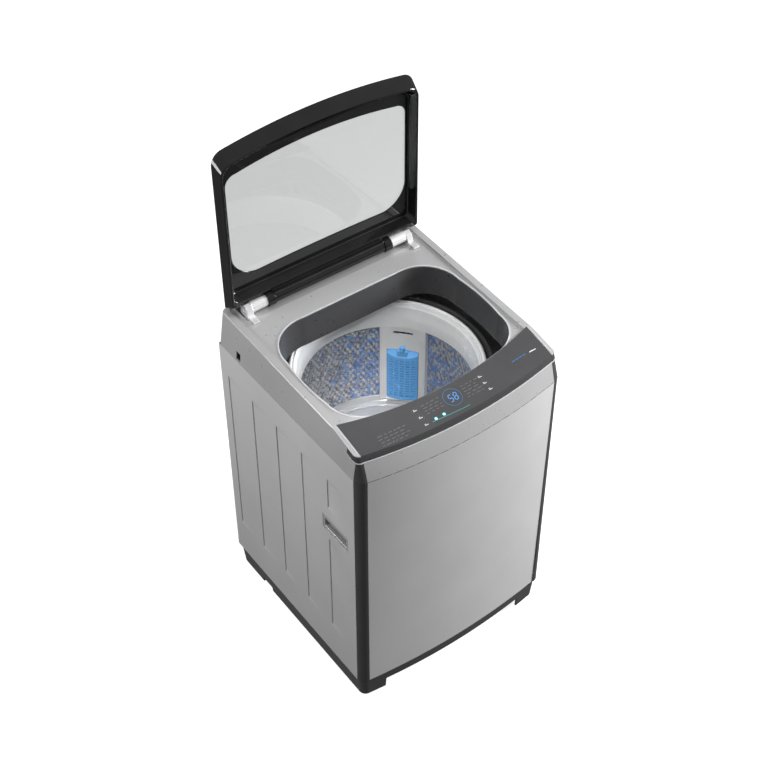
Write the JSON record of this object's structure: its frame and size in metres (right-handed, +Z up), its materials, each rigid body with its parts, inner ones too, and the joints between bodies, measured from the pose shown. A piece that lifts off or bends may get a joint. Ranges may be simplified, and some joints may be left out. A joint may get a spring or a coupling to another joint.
{
  "type": "top load washing machine",
  "caption": "Top-loading washing machine: silver bowed cabinet, sloping touch console, open glass lid, spinning drum with a blue lint filter and a pulsator.",
  "frame": {"origin": "on the floor under the spin axis of the drum, at the middle of the machine's footprint", "axes": "+X to the right of a person facing the front, the front faces -Y, +Z up"},
  "size_m": [0.6, 0.656, 1.4406],
  "materials": {
    "silver_enamel": "satin metallic enamel on steel sheet",
    "galvanised_steel": "plain galvanised steel sheet",
    "silver_plastic": "satin silver moulded plastic",
    "dark_grey_plastic": "fine-grained dark grey plastic",
    "console_glass": "smoked glossy touch panel",
    "bright_trim": "polished chrome plating",
    "bright_steel": "zinc plated steel",
    "black_gloss_plastic": "piano black",
    "clear_glass": "clear tempered glass with a printed dot pattern",
    "black_rubber": "black rubber",
    "stainless_steel": "embossed bright stainless steel",
    "white_plastic": "smooth white plastic",
    "translucent_grey_plastic": "milky grey plastic",
    "blue_plastic": "translucent blue plastic",
    "light_grey_plastic": "light grey plastic",
    "silver_cap": "bright cap",
    "circuit_board": "green circuit board",
    "cast_aluminium": "die cast aluminium"
  },
  "bodies": {
    "cabinet": {"side_panel_left": "silver_enamel", "side_panel_right": "silver_enamel", "front_panel": "silver_enamel", "rear_panel": "galvanised_steel", "rear_cover": "galvanised_steel", "corner_brackets": "galvanised_steel", "top_cover": "silver_plastic", "handle_cups": "silver_plastic", "corner_trims": "dark_grey_plastic", "base_frame": "dark_grey_plastic", "well_liner": "dark_grey_plastic", "console_lip": "dark_grey_plastic", "console_glass": "console_glass", "opening_trim": "bright_trim", "console_trim": "bright_trim", "hinge_barrels": "bright_trim", "hinge_brackets": "bright_trim", "hinge_pins": "bright_steel", "suspension_rods": "bright_steel", "suspension_rod_caps": "bright_steel", "rear_cover_screws": "bright_steel", "rear_foot_studs": "bright_steel", "rear_foot_pads": "black_rubber", "power_cord_gland": "black_rubber", "inlet_valve": "white_plastic", "water_chute": "white_plastic", "drain_spigot": "light_grey_plastic", "lid_switch": "light_grey_plastic", "water_level_sensor": "light_grey_plastic", "control_board": "circuit_board"},
    "lid": {"lid_frame": "black_gloss_plastic", "lid_glass": "clear_glass", "lid_gasket": "black_rubber", "lid_end_discs": "black_gloss_plastic"},
    "tub": {"outer_tub": "light_grey_plastic", "tub_ring": "dark_grey_plastic", "spring_cups": "white_plastic", "support_plate": "galvanised_steel", "gearbox": "cast_aluminium", "motor": "cast_aluminium", "drive_belt": "black_rubber", "drain_valve": "white_plastic", "suspension_springs": "bright_steel"},
    "drum": {"balance_ring": "white_plastic", "drum_wall": "stainless_steel", "drum_base": "light_grey_plastic", "lint_channel_filter_side": "translucent_grey_plastic", "lint_channel_plain": "translucent_grey_plastic", "hollow_shaft": "bright_steel"},
    "lint_filter": {"lint_filter": "blue_plastic"},
    "pulsator": {"pulsator": "light_grey_plastic", "pulsator_cap": "silver_cap", "inner_shaft": "bright_steel", "drive_pulley": "cast_aluminium"},
    "motor_rotor": {"motor_shaft": "bright_steel", "motor_pulley": "cast_aluminium"},
    "front_foot_left": {"front_foot_pad_left": "black_rubber", "front_foot_stud_left": "bright_steel"},
    "front_foot_right": {"front_foot_pad_right": "black_rubber", "front_foot_stud_right": "bright_steel"}
  },
  "joints": [
    {"name": "lid_hinge", "type": "hinge", "parent": "cabinet", "child": "lid", "pos_m": [0, 0.248, 0.966], "axis": [1, 0, 0], "range_deg": [0, 93]},
    {"name": "tub_suspension", "type": "slide", "parent": "cabinet", "child": "tub", "axis": [0, 0, 1], "range_m": [-0.025, 0.012], "stiffness_N_per_m": 9000, "springref_m": 0.03099, "deforming": ["suspension_springs"]},
    {"name": "drum_spin", "type": "hinge", "parent": "tub", "child": "drum", "pos_m": [0, 0, 0.6], "axis": [0, 0, 1], "continuous": true},
    {"name": "pulsator_spin", "type": "hinge", "parent": "tub", "child": "pulsator", "pos_m": [0, 0, 0.4], "axis": [0, 0, 1], "continuous": true},
    {"name": "motor_spin", "type": "hinge", "parent": "tub", "child": "motor_rotor", "pos_m": [0.165, 0, 0.35], "axis": [0, 0, 1], "continuous": true},
    {"name": "lint_filter_tilt", "type": "hinge", "parent": "drum", "child": "lint_filter", "pos_m": [0.15285, 0.14254, 0.515], "axis": [0.682, -0.7314, 0], "range_deg": [0, 25]},
    {"name": "front_foot_left_screw", "type": "slide", "parent": "cabinet", "child": "front_foot_left", "axis": [0, 0, 1], "range_m": [-0.015, 0]},
    {"name": "front_foot_right_screw", "type": "slide", "parent": "cabinet", "child": "front_foot_right", "axis": [0, 0, 1], "range_m": [-0.015, 0]}
  ],
  "couplings": [
    {"joint": "motor_spin", "follows": "pulsator_spin", "ratio": 4.5}
  ]
}
